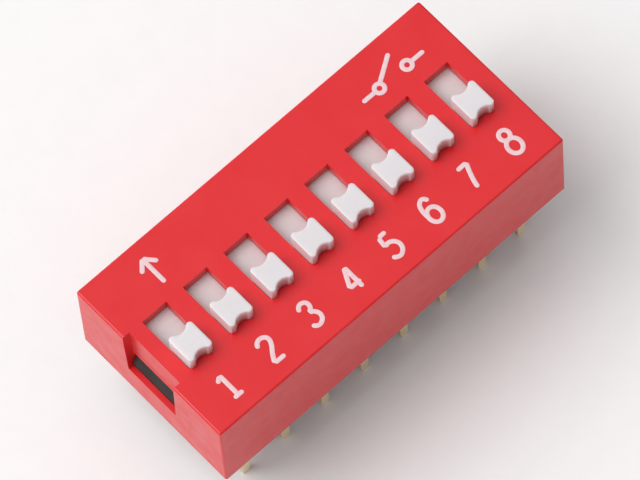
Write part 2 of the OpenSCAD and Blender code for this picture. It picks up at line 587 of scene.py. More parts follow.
@dataclass(frozen=True)
class MouldedPlastic:
    """Injection-moulded plastic: grain, tone drift, rubbed edges, dust, and painted shade
    in recesses.
    """

    name: str
    colour: Colour
    worn_colour: Colour
    gloss: tuple[float, float] = (0.36, 0.48)
    grain_size: float = 0.06 * MM
    grain_depth: float = 0.0022 * MM
    drift_size: float = 2.6 * MM
    drift: float = 0.035
    wear: float = 0.35
    wear_radius: float = 0.05 * MM
    dust_colour: Colour = (0.72, 0.68, 0.66)
    dust: float = 0.1
    # Painted shade: colour, share, level and share below the level of the shade painted
    # into recesses.
    recess_shade_colour: Colour = (0.1, 0.05, 0.04)
    recess_shade: float = 0.0
    recess_shade_level: float = -1.0
    recess_shade_below: float = 0.0
    shine: float = 0.5
    glow: float = 0.0
    glow_reach: float = 0.25 * MM
    glow_tint: Colour = (1.0, 0.85, 0.75)
    speck_share: float = 0.09
    polish: float = 0.08

    def build(self) -> bpy.types.Material:
        """Makes the material.

        Returns:
            The material.
        """
        material, sheet, shader = new_material(self.name)
        grain = MouldGrain.on(sheet, Grain_size=self.grain_size)
        tone = ToneDrift.on(
            sheet,
            Color=rgba(self.colour),
            Patch_size=self.drift_size,
            Strength=self.drift,
        )["Color"]
        worn = EdgeWear.on(sheet, Radius=self.wear_radius)["Mask"]
        worn_and_shaded = sheet.mix(
            sheet.math("MULTIPLY", worn, self.wear), tone, rgba(self.worn_colour)
        )
        # Painted shade: the colour is darkened towards the recess shade colour in tight
        # corners and below the level.
        if self.recess_shade:
            shaded = RecessShade.on(
                sheet, Level=self.recess_shade_level, Below_share=self.recess_shade_below
            )["Mask"]
            worn_and_shaded = sheet.mix(
                sheet.math("MULTIPLY", shaded, self.recess_shade),
                worn_and_shaded,
                rgba(self.recess_shade_colour),
            )
        specks = Dust.on(sheet, Cover=self.speck_share)["Mask"]
        dusty = sheet.mix(
            sheet.math("MULTIPLY", specks, self.dust), worn_and_shaded, rgba(self.dust_colour)
        )
        sheet.feed(shader.inputs["Base Color"], dusty)
        gloss = sheet.spread(grain["Gloss patch"], 0.0, 1.0, *self.gloss)
        smoother = sheet.math("MULTIPLY", worn, self.polish)
        sheet.feed(
            shader.inputs["Roughness"], sheet.math("SUBTRACT", gloss, smoother)
        )
        add_bump(sheet, shader, grain["Height"], self.grain_depth)
        shader.inputs["IOR"].default_value = 1.5
        shader.inputs["Specular IOR Level"].default_value = self.shine
        if self.glow:
            shader.inputs["Subsurface Weight"].default_value = self.glow
            shader.inputs["Subsurface Scale"].default_value = self.glow_reach
            shader.inputs["Subsurface Radius"].default_value = self.glow_tint
        return material


@dataclass(frozen=True)
class GoldPlate:
    """Thin gold on stamped sheet, duller and greyer on the cut faces.

    Each pair of gloss and metallic is for the sheet's face and for its cut edge or its
    streaks, and each drift is a patch size and a strength.
    """

    name: str
    colour: Colour
    cut_colour: Colour
    gloss: tuple[float, float] = (0.24, 0.42)
    line_size: float = 0.03 * MM
    line_depth: float = 0.0016 * MM
    metallic: tuple[float, float] = (0.96, 0.82)
    drift: tuple[float, float] = (0.9 * MM, 0.07)
    cut_drift: tuple[float, float] = (0.25 * MM, 0.12)
    cut_drag: float = 0.12

    def build(self) -> bpy.types.Material:
        """Makes the material.

        Returns:
            The material.
        """
        material, sheet, shader = new_material(self.name)
        lines = StampLines.on(sheet, Line_size=self.line_size)
        tone, cut = (
            ToneDrift.on(sheet, Color=rgba(colour), Patch_size=size, Strength=swing)
            for colour, (size, swing) in (
                (self.colour, self.drift),
                (self.cut_colour, self.cut_drift),
            )
        )
        sheet.feed(
            shader.inputs["Base Color"],
            sheet.mix(lines["Cut face"], tone["Color"], cut["Color"]),
        )
        sheet.feed(
            shader.inputs["Metallic"],
            sheet.spread(lines["Cut face"], 0.0, 1.0, *self.metallic),
        )
        streak = sheet.spread(lines["Height"], 0.3, 0.7, *self.gloss)
        sheet.feed(
            shader.inputs["Roughness"],
            sheet.math(
                "ADD", streak, sheet.math("MULTIPLY", lines["Cut face"], self.cut_drag)
            ),
        )
        add_bump(sheet, shader, lines["Height"], self.line_depth)
        return material


@dataclass(frozen=True)
class PrintedInk:
    """Pad-printed ink that lets a little of the plastic through where it is thin."""

    name: str
    colour: Colour
    thin_colour: Colour
    gloss: tuple[float, float] = (0.42, 0.6)
    film_size: float = 0.22 * MM
    thin_share: float = 0.5
    grain_size: float = 0.05 * MM
    grain_depth: float = 0.0012 * MM

    def build(self) -> bpy.types.Material:
        """Makes the material.

        Returns:
            The material.
        """
        material, sheet, shader = new_material(self.name)
        film = sheet.noise(sheet.place(), 1 / self.film_size, 4.0, 0.55)
        thin = sheet.spread(film, 0.42, 0.72, 0.0, self.thin_share)
        sheet.feed(
            shader.inputs["Base Color"],
            sheet.mix(thin, rgba(self.colour), rgba(self.thin_colour)),
        )
        sheet.feed(
            shader.inputs["Roughness"], sheet.spread(film, 0.3, 0.7, *self.gloss)
        )
        grain = MouldGrain.on(sheet, Grain_size=self.grain_size)
        add_bump(sheet, shader, grain["Height"], self.grain_depth)
        return material


@dataclass(frozen=True)
class StudioPaper:
    """Plain pale background paper, which doesn't show from its underside."""

    name: str = "studio_paper"
    colour: Colour = (0.96, 0.96, 0.96)
    fibres: float = 900.0

    def build(self) -> bpy.types.Material:
        """Makes the material.

        Returns:
            The material.
        """
        material, sheet, shader = new_material(self.name)
        fibre = sheet.noise(sheet.place(), self.fibres, 4.0, 0.6)
        paler = tuple(min(1.0, c * 1.02) for c in self.colour)
        sheet.feed(
            shader.inputs["Base Color"],
            sheet.mix(
                sheet.spread(fibre, 0.3, 0.7, 0.0, 1.0), rgba(self.colour), rgba(paler)
            ),
        )
        sheet.feed(
            shader.inputs["Roughness"], sheet.spread(fibre, 0.3, 0.7, 0.85, 0.95)
        )
        shader.inputs["Specular IOR Level"].default_value = 0.1
        under = sheet.add("ShaderNodeNewGeometry").outputs["Backfacing"]
        clear = sheet.add("ShaderNodeBsdfTransparent").outputs[0]
        shown = sheet.add(
            "ShaderNodeMixShader", {0: under, 1: shader.outputs[0], 2: clear}
        )
        leave = next(n for n in sheet.tree.nodes if n.type == "OUTPUT_MATERIAL")
        sheet.feed(leave.inputs["Surface"], shown.outputs[0])
        return material


@dataclass
class FinishShelf:
    """Every finish of the object, made once."""

    cover: MouldedPlastic = MouldedPlastic(
        name="red_nylon",
        colour=(0.785, 0.012, 0.019),
        worn_colour=(0.86, 0.1, 0.11),
        gloss=(0.28, 0.38),
        grain_depth=0.0008 * MM,
        drift=0.014,
        wear=0.12,
        dust=0.04,
        shine=0.56,
        glow=0.12,
    )
    base: MouldedPlastic = MouldedPlastic(
        name="black_glass_filled",
        colour=(0.014, 0.011, 0.01),
        worn_colour=(0.09, 0.08, 0.08),
        gloss=(0.38, 0.52),
        shine=0.32,
        grain_size=0.08 * MM,
        drift=0.12,
    )
    slider: MouldedPlastic = MouldedPlastic(
        name="white_acetal",
        colour=(0.8, 0.77, 0.79),
        worn_colour=(0.86, 0.84, 0.85),
        gloss=(0.34, 0.46),
        drift=0.015,
        dust_colour=(0.45, 0.4, 0.38),
        dust=0.05,
        # Painted shade: a brown darkening of the white slider in its corners and below the
        # cover's top, where the slots lie in shade.
        recess_shade_colour=(0.42, 0.3, 0.27),
        recess_shade=0.6,
        recess_shade_level=5.4 * MM,
        recess_shade_below=0.46,
        glow=0.8,
        glow_reach=0.4 * MM,
    )
    terminal: GoldPlate = GoldPlate(
        name="gold_flash_pin",
        colour=(0.97, 0.85, 0.6),
        cut_colour=(0.78, 0.68, 0.5),
        gloss=(0.36, 0.54),
        metallic=(0.82, 0.7),
    )
    contact: GoldPlate = GoldPlate(
        name="gold_spring_strip",
        colour=(0.83, 0.62, 0.3),
        cut_colour=(0.6, 0.46, 0.26),
        line_size=0.04 * MM,
    )
    ink: PrintedInk = PrintedInk(
        name="white_pad_ink",
        colour=(0.9, 0.66, 0.69),
        thin_colour=(0.88, 0.44, 0.47),
    )
    made: dict[str, bpy.types.Material] = field(default_factory=dict)

    def get(self, slot: Slot) -> bpy.types.Material:
        """The material of a slot.

        Args:
            slot: The record's slot.

        Returns:
            Its material, which is built the first time that it is asked for.
        """
        finishes = {
            Slot.COVER: self.cover,
            Slot.BASE: self.base,
            Slot.SLIDER: self.slider,
            Slot.TERMINAL: self.terminal,
            Slot.CONTACT: self.contact,
            Slot.INK: self.ink,
        }
        if slot.name not in self.made:
            self.made[slot.name] = finishes[slot].build()
        return self.made[slot.name]


# ---------------------------------------------------------------------------
# Mesh work, in millimetres
# ---------------------------------------------------------------------------


def link(obj: bpy.types.Object) -> bpy.types.Object:
    """Puts an object in the scene and hands it back."""
    bpy.context.scene.collection.objects.link(obj)
    return obj


def evaluated_mesh(obj: bpy.types.Object, name: str) -> bpy.types.Mesh:
    """Reads an object's mesh with its modifiers applied.

    Args:
        obj: The object.
        name: Name of the new mesh.

    Returns:
        A plain mesh.
    """
    graph = bpy.context.evaluated_depsgraph_get()
    mesh = bpy.data.meshes.new_from_object(
        obj.evaluated_get(graph), preserve_all_data_layers=True, depsgraph=graph
    )
    mesh.name = name
    return mesh


def discard(obj: bpy.types.Object) -> None:
    """Removes a helper object and its mesh.

    Args:
        obj: The helper.
    """
    mesh = obj.data
    bpy.data.objects.remove(obj)
    bpy.data.meshes.remove(mesh)


class Workpiece:
    """A closed mesh that is worked in millimetres and handed over in metres."""

    def __init__(self, bm: bmesh.types.BMesh) -> None:
        """Keeps the mesh that is worked on."""
        self.bm = bm

    @classmethod
    def from_node(cls, node: str) -> "Workpiece":
        """Takes a merged copy of a CAD node's mesh.

        Args:
            node: The CAD node's name.

        Returns:
            The copy, with its flat faces whole.
        """
        bm = bmesh.new()
        bm.from_mesh(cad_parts[node].data)
        bm.transform(Matrix.Scale(1 / MM, 4))
        piece = cls(bm)
        piece.clean()
        return piece

    @classmethod
    def block(cls, low: Sequence[float], high: Sequence[float]) -> "Workpiece":
        """Makes a box.

        Args:
            low: Its lowest corner.
            high: Its highest corner.

        Returns:
            The box.
        """
        bm = bmesh.new()
        size = [h - l for l, h in zip(low, high)]
        middle = [(h + l) / 2 for l, h in zip(low, high)]
        bmesh.ops.create_cube(
            bm,
            size=1.0,
            matrix=Matrix.Translation(middle) @ Matrix.Diagonal((*size, 1.0)),
        )
        return cls(bm)

    @classmethod
    def swept(
        cls, corners: Sequence[Sequence[float]], run: Sequence[float]
    ) -> "Workpiece":
        """Sweeps a flat outline along a straight run.

        Args:
            corners: The outline's corners, in order.
            run: How far it is swept, as X, Y and Z.

        Returns:
            The solid.
        """
        bm = bmesh.new()
        face = bm.faces.new([bm.verts.new(corner) for corner in corners])
        moved = bmesh.ops.extrude_face_region(bm, geom=[face])["geom"]
        bmesh.ops.translate(
            bm, vec=run, verts=[v for v in moved if isinstance(v, bmesh.types.BMVert)]
        )
        bmesh.ops.recalc_face_normals(bm, faces=bm.faces)
        return cls(bm)

    def join(self, other: "Workpiece") -> None:
        """Adds another closed mesh, which doesn't touch this one.

        Args:
            other: The mesh that is added.
        """
        mesh = bpy.data.meshes.new("join")
        other.bm.to_mesh(mesh)
        self.bm.from_mesh(mesh)
        bpy.data.meshes.remove(mesh)

    def clean(self) -> None:
        """Merges doubled corners and dissolves the lines across flat faces."""
        bmesh.ops.remove_doubles(self.bm, verts=self.bm.verts, dist=MERGE_MM)
        bmesh.ops.dissolve_limit(
            self.bm,
            angle_limit=math.radians(FLAT_DEG),
            use_dissolve_boundaries=False,
            verts=self.bm.verts,
            edges=self.bm.edges,
            delimit=set(),
        )

    def combine(self, other: "Workpiece", operation: str) -> None:
        """Makes this solid the exact result of itself and another one.

        Args:
            other: The other solid.
            operation: The Boolean modifier's operation.
        """
        holders = []
        for part in (self, other):
            mesh = bpy.data.meshes.new("part")
            part.bm.to_mesh(mesh)
            holders.append(link(bpy.data.objects.new("part", mesh)))
        modifier = holders[0].modifiers.new("combine", "BOOLEAN")
        modifier.operation = operation
        modifier.solver = "EXACT"
        modifier.object = holders[1]
        result = evaluated_mesh(holders[0], "combined")
        self.bm.clear()
        self.bm.from_mesh(result)
        for holder in holders:
            discard(holder)
        bpy.data.meshes.remove(result)
        self.clean()

    def cut(self, cutter: "Workpiece") -> None:
        """Takes another solid out of this one."""
        self.combine(cutter, "DIFFERENCE")

    def fuse(self, other: "Workpiece") -> None:
        """Makes another solid part of this one."""
        self.combine(other, "UNION")

    def round_edges(
        self,
        radius: float,
        segments: int = 3,
        angle: float = 35.0,
        where: Callable[[Vector, Vector], bool] | None = None,
    ) -> None:
        """Rounds sharp outer edges.

        Args:
            radius: Radius in millimetres.
            segments: Number of facets across the round.
            angle: Edges that turn less than this stay, in degrees.
            where: Takes an edge's two ends and says whether it is rounded.
        """
        edges = [
            e
            for e in self.bm.edges
            if e.is_manifold
            and e.is_convex
            and e.calc_face_angle(0.0) > math.radians(angle)
            and (where is None or where(e.verts[0].co, e.verts[1].co))
        ]
        bmesh.ops.bevel(
            self.bm,
            geom=edges,
            offset=radius,
            offset_type="OFFSET",
            segments=segments,
            profile=0.5,
            affect="EDGES",
            clamp_overlap=True,
            miter_outer="ARC",
        )

    def mesh(self, name: str) -> bpy.types.Mesh:
        """Hands the mesh over in metres, smooth across its rounds.

        Args:
            name: The mesh's name.

        Returns:
            A plain mesh with its own normals.
        """
        self.bm.transform(Matrix.Scale(MM, 4))
        raw = bpy.data.meshes.new(name + "_raw")
        self.bm.to_mesh(raw)
        self.bm.free()
        raw.shade_smooth()
        raw.set_sharp_from_angle(angle=math.radians(SMOOTH_DEG))
        holder = link(bpy.data.objects.new(name + "_raw", raw))
        weigh = holder.modifiers.new("weigh", "WEIGHTED_NORMAL")
        weigh.keep_sharp = True
        result = evaluated_mesh(holder, name)
        discard(holder)
        return result


@dataclass
class SubAssembly:
    """Makes pieces along the row of switches. Sizes are in millimetres."""

    finishes: FinishShelf
    positions: int = 8
    pitch: float = 2.54

    def numbers(self) -> range:
        """The switches' numbers, counted from 1."""
        return range(1, self.positions + 1)

    def column(self, number: int) -> float:
        """Where a switch stands along the row, from the middle."""
        return (number - (self.positions + 1) / 2) * self.pitch

    def settle(
        self,
        name: str,
        mesh: bpy.types.Mesh,
        slot: Slot,
        body: str,
        nodes: Sequence[str] = (),
    ) -> bpy.types.Object:
        """Makes a finished mesh a piece of the object.

        Args:
            name: The piece's name.
            mesh: Its mesh, in place.
            slot: The slot that its finish comes from.
            body: The body that it rides on.
            nodes: The CAD nodes that it stands for.

        Returns:
            The piece.
        """
        piece = link(bpy.data.objects.new(name, mesh))
        mesh.materials.clear()
        mesh.materials.append(self.finishes.get(slot))
        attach(piece, body)
        if nodes:
            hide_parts(*nodes)
        LOG.info("%s: %d faces, on %s", name, len(mesh.polygons), body)
        return piece


# ---------------------------------------------------------------------------
# Geometry Nodes
# ---------------------------------------------------------------------------


class GeometryTool(ToolGroup):
    """A Geometry Nodes tree that is run on a mesh and then leaves a plain mesh."""

    tree_type = "GeometryNodeTree"

    @classmethod
    def run(cls, mesh: bpy.types.Mesh, name: str, **values: object) -> bpy.types.Mesh:
        """Runs the tree on a mesh.

        Args:
            mesh: What goes in. It is used up.
            name: Name of the mesh that comes out.
            **values: Inputs by name, with an underscore for a space.

        Returns:
            The plain mesh.
        """
        holder = bpy.data.objects.new(name + "_holder", mesh)
        modifier = holder.modifiers.new(cls.name, "NODES")
        modifier.node_group = cls.tree()
        sockets = {
            item.name: item.identifier
            for item in cls.tree().interface.items_tree
            if item.in_out == "INPUT"
        }
        for key, value in values.items():
            modifier[sockets[key.replace("_", " ")]] = value
        link(holder)
        result = evaluated_mesh(holder, name)
        discard(holder)
        return result

    @staticmethod
    def hand_over(sheet: NodeSheet, made: Feed, finish: Feed, leave: Leave) -> None:
        """Makes instances real, gives them their finish, and puts them out.

        Args:
            sheet: Where the nodes go.
            made: The geometry.
            finish: Its material.
            leave: The tree's outputs.
        """
        real = sheet.add("GeometryNodeRealizeInstances", {"Geometry": made})
        finished = sheet.add(
            "GeometryNodeSetMaterial", {"Geometry": real.outputs[0], "Material": finish}
        )
        sheet.feed(leave["Geometry"], finished.outputs[0])


GEOMETRY_OUT = (SocketPlan("Geometry", "NodeSocketGeometry"),)


class PinRow(GeometryTool):
    """Repeats one pin along its row."""

    name = "Pin row"
    inputs = (
        SocketPlan("Geometry", "NodeSocketGeometry"),
        SocketPlan("Count", "NodeSocketInt", 8),
        SocketPlan("Pitch", "NodeSocketFloat", 0.00254),
        SocketPlan("Finish", "NodeSocketMaterial"),
    )
    outputs = GEOMETRY_OUT

    @classmethod
    def wire(cls, sheet: NodeSheet, entry: Entry, leave: Leave) -> None:
        """Adds the tree's nodes.

        Args:
            sheet: Where the nodes go.
            entry: One pin, its count, pitch and finish.
            leave: The row.
        """
        step = sheet.add("ShaderNodeCombineXYZ", {0: entry["Pitch"]}).outputs[0]
        line = sheet.add(
            "GeometryNodeMeshLine",
            {"Count": entry["Count"], "Offset": step},
            mode="OFFSET",
        )
        row = sheet.add(
            "GeometryNodeInstanceOnPoints",
            {"Points": line.outputs[0], "Instance": entry["Geometry"]},
        )
        cls.hand_over(sheet, row.outputs[0], entry["Finish"], leave)


class StrokePrint(GeometryTool):
    """Lays a low round-ended band of ink along the lines of a drawing."""

    name = "Stroke print"
    inputs = (
        SocketPlan("Geometry", "NodeSocketGeometry"),
        SocketPlan("Stroke width", "NodeSocketFloat", 0.26),
        SocketPlan("Step", "NodeSocketFloat", 0.03),
        SocketPlan("Ink height", "NodeSocketFloat", 0.014),
        SocketPlan("Finish", "NodeSocketMaterial"),
    )
    outputs = GEOMETRY_OUT
    ring_points = 12
    least_tip = 0.02

    @classmethod
    def wire(cls, sheet: NodeSheet, entry: Entry, leave: Leave) -> None:
        """Adds the tree's nodes.

        Args:
            sheet: Where the nodes go.
            entry: The drawing, stroke width, step, ink height and finish.
            leave: The ink, in metres.
        """
        lines = sheet.add("GeometryNodeMeshToCurve", {"Mesh": entry["Geometry"]})
        smooth = sheet.add(
            "GeometryNodeCurveSplineType",
            {"Curve": lines.outputs[0]},
            spline_type="CATMULL_ROM",
        )
        even = sheet.add(
            "GeometryNodeResampleCurve",
            {"Curve": smooth.outputs[0], "Length": entry["Step"]},
            mode="LENGTH",
        )
        half = sheet.math("MULTIPLY", entry["Stroke width"], 0.5)
        along = sheet.add("GeometryNodeSplineParameter").outputs["Length"]
        whole = sheet.add("GeometryNodeSplineLength").outputs["Length"]
        to_end = sheet.math("MINIMUM", along, sheet.math("SUBTRACT", whole, along))
        inside = sheet.math(
            "SUBTRACT", 1.0, sheet.math("DIVIDE", to_end, half), clamp=True
        )
        round_end = sheet.math(
            "SQRT",
            sheet.math(
                "MAXIMUM",
                sheet.math("SUBTRACT", 1.0, sheet.math("POWER", inside, 2.0)),
                cls.least_tip,
            ),
        )
        closed = sheet.add("GeometryNodeInputSplineCyclic").outputs[0]
        share = sheet.math("MAXIMUM", round_end, closed)
        ring = sheet.add(
            "GeometryNodeCurvePrimitiveCircle",
            {"Resolution": cls.ring_points, "Radius": half},
        )
        tube = sheet.add(
            "GeometryNodeCurveToMesh",
            {
                "Curve": even.outputs[0],
                "Profile Curve": ring.outputs[0],
                "Scale": share,
                "Fill Caps": True,
            },
        )
        one = sheet.add(
            "GeometryNodeMeshBoolean",
            {"Mesh 2": tube.outputs[0], "Self Intersection": True},
            operation="UNION",
            solver="EXACT",
        )
        low = sheet.math(
            "DIVIDE", sheet.math("MULTIPLY", entry["Ink height"], MM), half
        )
        flat = sheet.add("ShaderNodeCombineXYZ", {0: MM, 1: MM, 2: low}).outputs[0]
        placed = sheet.add(
            "GeometryNodeTransform", {"Geometry": one.outputs[0], "Scale": flat}
        )
        soft = sheet.add(
            "GeometryNodeSetShadeSmooth", {"Geometry": placed.outputs[0]}
        )
        cls.hand_over(sheet, soft.outputs[0], entry["Finish"], leave)


# ---------------------------------------------------------------------------
# The object
# ---------------------------------------------------------------------------


@dataclass
class Housing(SubAssembly):
    """The red cover and the black base inside it."""

    roof: float = 0.6
    side_wall: float = 0.6
    end_wall: float = 0.75
    corner: float = 0.12
    rim: float = 0.2
    slot: Point = (1.5, 3.17)
    slot_y: float = 0.14
    notch_half: Point = (1.75, 1.65)
    notch_depth: float = 0.43
    sill: float = 2.0
    window: float = 1.2
    window_half: float = 1.62
    pocket: float = 0.53
    edge: float = 0.035
    base_edge: float = 0.03

    def cover(self) -> bpy.types.Object:
        """Builds the cover with an even round all the way along its rim.

        Returns:
            The cover's piece.
        """
        low, high = (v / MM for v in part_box("cover"))
        outside, over = low.x - PAST_MM, high.z + PAST_MM
        shell = Workpiece.block(low, high)
        shell.round_edges(
            self.corner, 5, where=lambda a, b: abs(a.z - b.z) > (high.z - low.z) / 2
        )
        top = high.z - MERGE_MM
        shell.round_edges(self.rim, 5, where=lambda a, b: min(a.z, b.z) > top)
        inner_x, inner_y = high.x - self.end_wall, high.y - self.side_wall
        shell.cut(
            Workpiece.block(
                (-inner_x, -inner_y, low.z - PAST_MM),
                (inner_x, inner_y, high.z - self.roof),
            )
        )
        half_x, half_y = self.slot[0] / 2, self.slot[1] / 2
        slots = [
            Workpiece.block(
                (x - half_x, self.slot_y - half_y, high.z - self.roof - BITE_MM),
                (x + half_x, self.slot_y + half_y, over),
            )
            for x in map(self.column, self.numbers())
        ]
        for other in slots[1:]:
            slots[0].join(other)
        shell.cut(slots[0])
        wide, narrow = self.notch_half
        above = wide + PAST_MM * (wide - narrow) / (high.z - self.sill)
        shell.cut(
            Workpiece.swept(
                [
                    (outside, -narrow, self.sill),
                    (outside, narrow, self.sill),
                    (outside, above, over),
                    (outside, -above, over),
                ],
                (PAST_MM + self.notch_depth, 0, 0),
            )
        )
        for start, end in (
            (low.x + self.notch_depth - BITE_MM, low.x + self.end_wall + BITE_MM),
            (inner_x - BITE_MM, inner_x + self.pocket),
        ):
            shell.cut(
                Workpiece.block(
                    (start, -self.window_half, self.sill),
                    (end, self.window_half, self.sill + self.window),
                )
            )
        shell.round_edges(self.edge, 3)
        name = "cover_shell"
        body = Body.HOUSING.value
        return self.settle(name, shell.mesh(name), Slot.COVER, body, ["cover"])

    def base(self) -> bpy.types.Object:
        """Builds the base with broken edges.

        Returns:
            The base's piece.
        """
        block = Workpiece.from_node("base")
        block.round_edges(self.base_edge, 2)
        name = "base_block"
        body = Body.HOUSING.value
        return self.settle(name, block.mesh(name), Slot.BASE, body, ["base"])


@dataclass
class SliderBank(SubAssembly):
    """The sliders and their contact springs."""

    lobe: float = 0.19
    groove: float = 0.22
    gap: float = 0.03
    stem_inset: float = 0.26
    knob_edge: float = 0.07
    facets: int = 8
    spare: float = 2.0

    def outline(self, half: Point) -> list[Point]:
        """Plan of a knob: four round lobes, with a hollow between them at both ends.

        Args:
            half: Half of its width and length.

        Returns:
            Its corners around the middle, anticlockwise.
        """
        reach = half[0] - self.lobe
        hollow = (reach**2 + self.groove**2) / (2 * self.groove) - self.lobe
        middle = half[1] - self.groove + hollow
        meet = math.atan2(middle - (half[1] - self.lobe), reach)
        lobe = [
            (
                reach + self.lobe * math.cos(turn),
                half[1] - self.lobe + self.lobe * math.sin(turn),
            )
            for turn in (
                k * (math.pi - meet) / self.facets for k in range(self.facets + 1)
            )
        ]
        dip = [
            (hollow * math.cos(turn), middle + hollow * math.sin(turn))
            for turn in (
                -meet - k * (math.pi / 2 - meet) / self.facets
                for k in range(1, self.facets + 1)
            )
        ]
        corner = lobe + dip
        end = corner + [(-x, y) for x, y in reversed(corner[:-1])]
        return end + [(-x, -y) for x, y in end]

    def blank(self) -> Workpiece:
        """Builds the first slider: the CAD's plate and stem under a softer knob.

        Returns:
            The slider, in place.
        """
        piece = Workpiece.from_node("slider_1")
        top = max(v.co.z for v in piece.bm.verts)
        crown = [v.co for v in piece.bm.verts if v.co.z > top - MERGE_MM]
        low_x, high_x = min(c.x for c in crown), max(c.x for c in crown)
        low_y, high_y = min(c.y for c in crown), max(c.y for c in crown)
        x, y = (low_x + high_x) / 2, (low_y + high_y) / 2
        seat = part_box("cover")[1].z / MM + self.gap
        left, right = x - self.spare, x + self.spare
        front, back = y - self.spare, y + self.spare
        over = top + PAST_MM
        for near, far, under in (
            (front, back, seat + self.gap),
            (front, low_y + self.stem_inset, seat - self.gap),
            (high_y - self.stem_inset, back, seat - self.gap),
        ):
            piece.cut(Workpiece.block((left, near, under), (right, far, over)))
        half = ((high_x - low_x) / 2, (high_y - low_y) / 2)
        knob = Workpiece.swept(
            [(x + dx, y + dy, seat) for dx, dy in self.outline(half)],
            (0, 0, top - seat),
        )
        knob.round_edges(
            self.knob_edge, 4, where=lambda a, b: min(a.z, b.z) > top - MERGE_MM
        )
        piece.fuse(knob)
        return piece

    def sliders(self) -> None:
        """Sets a copy of the blank at every switch."""
        blank = self.blank().mesh("blank")
        for number in self.numbers():
            name = f"actuator_{number}"
            mesh = blank.copy()
            mesh.name = name
            step = (number - 1) * self.pitch * MM
            mesh.transform(Matrix.Translation((step, 0.0, 0.0)))
            self.settle(
                name, mesh, Slot.SLIDER, switch_body(number), [f"slider_{number}"]
            )
        bpy.data.meshes.remove(blank)

    def springs(self) -> None:
        """Dresses the contact springs, whose CAD shape stays."""
        for number in self.numbers():
            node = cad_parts[f"contact_{number}"]
            for holder in node.material_slots:
                holder.material = self.finishes.get(Slot.CONTACT)

    def build(self) -> None:
        """Builds every slider and dresses every spring."""
        self.sliders()
        self.springs()
        LOG.info("contact springs: %d dressed", self.positions)


@dataclass
class Terminals(SubAssembly):
    """The two rows of stamped pins."""

    edge: float = 0.025

    def row(self, side: Side) -> bpy.types.Object:
        """Builds one row from its first pin.

        Args:
            side: The row's side of the package.

        Returns:
            The row's piece.
        """
        first = Workpiece.from_node(f"terminal_{side.value}_1")
        first.round_edges(self.edge, 2)
        name = f"pin_row_{side.value}"
        mesh = PinRow.run(
            first.mesh(name + "_pin"),
            name,
            Count=self.positions,
            Pitch=self.pitch * MM,
            Finish=self.finishes.get(Slot.TERMINAL),
        )
        nodes = [f"terminal_{side.value}_{number}" for number in self.numbers()]
        return self.settle(name, mesh, Slot.TERMINAL, Body.HOUSING.value, nodes)


Stroke = list[Point]


def oval(centre: Point, radii: Point, points: int = 12) -> Stroke:
    """A closed oval.

    Args:
        centre: Its centre.
        radii: Its half width and half height.
        points: How many points it has before it closes.

    Returns:
        Its points, the first one again at the end.
    """
    return [
        (
            centre[0] + radii[0] * math.cos(2 * math.pi * k / points),
            centre[1] + radii[1] * math.sin(2 * math.pi * k / points),
        )
        for k in range(points + 1)
    ]


DIGITS: dict[int, list[Stroke]] = {
    1: [
        [(0.035, 0.64), (0.035, -0.66)],
        [(0.02, 0.62), (-0.29, 0.36)],
        [(-0.23, -0.68), (0.34, -0.68)],
    ],
    2: [
        [
            (-0.29, 0.38), (-0.18, 0.6), (0.06, 0.7), (0.31, 0.6), (0.385, 0.38),
            (0.28, 0.11), (0.02, -0.25), (-0.23, -0.67),
        ],
        [(-0.22, -0.68), (0.42, -0.68)],
    ],
    3: [
        [
            (-0.21, 0.41), (-0.11, 0.61), (0.085, 0.7), (0.29, 0.61), (0.355, 0.42),
            (0.28, 0.22), (0.09, 0.09),
        ],
        [
            (0.09, 0.09), (0.3, 0.0), (0.43, -0.26), (0.35, -0.53), (0.09, -0.675),
            (-0.13, -0.6), (-0.22, -0.43),
        ],
    ],
    4: [
        [(0.25, 0.67), (-0.25, -0.31)],
        [(-0.25, -0.31), (0.43, -0.31)],
        [(0.265, 0.67), (0.265, -0.65)],
    ],
    5: [
        [(0.35, 0.68), (-0.1, 0.67)],
        [(-0.11, 0.66), (-0.175, 0.09)],
        [
            (-0.175, 0.08), (0.05, 0.17), (0.3, 0.06), (0.435, -0.2), (0.36, -0.5),
            (0.1, -0.69), (-0.16, -0.62), (-0.28, -0.46),
        ],
    ],
    6: [
        [
            (0.35, 0.45), (0.24, 0.66), (0.08, 0.71), (-0.13, 0.56), (-0.235, 0.25),
            (-0.25, -0.2),
        ],
        oval((0.09, -0.265), (0.342, 0.42)),
    ],
    7: [
        [(-0.21, 0.65), (0.39, 0.67)],
        [(0.39, 0.67), (0.24, 0.34), (0.085, -0.07), (-0.01, -0.39), (-0.055, -0.65)],
    ],
    8: [oval((0.095, 0.455), (0.265, 0.285)), oval((0.095, -0.255), (0.36, 0.425))],
}
ARROW: list[Stroke] = [
    [(0.0, -0.82), (0.0, 0.76)],
    [(0.0, 0.8), (-0.5, 0.22)],
    [(0.0, 0.8), (0.5, 0.22)],
]
OPEN_SWITCH: list[Stroke] = [
    [(-1.95, -0.4), (-1.14, -0.4)],
    oval((-0.88, -0.4), (0.25, 0.25)),
    [(-0.7, -0.22), (0.66, 0.66)],
    oval((0.88, -0.4), (0.25, 0.25)),
    [(1.14, -0.4), (1.95, -0.4)],
]


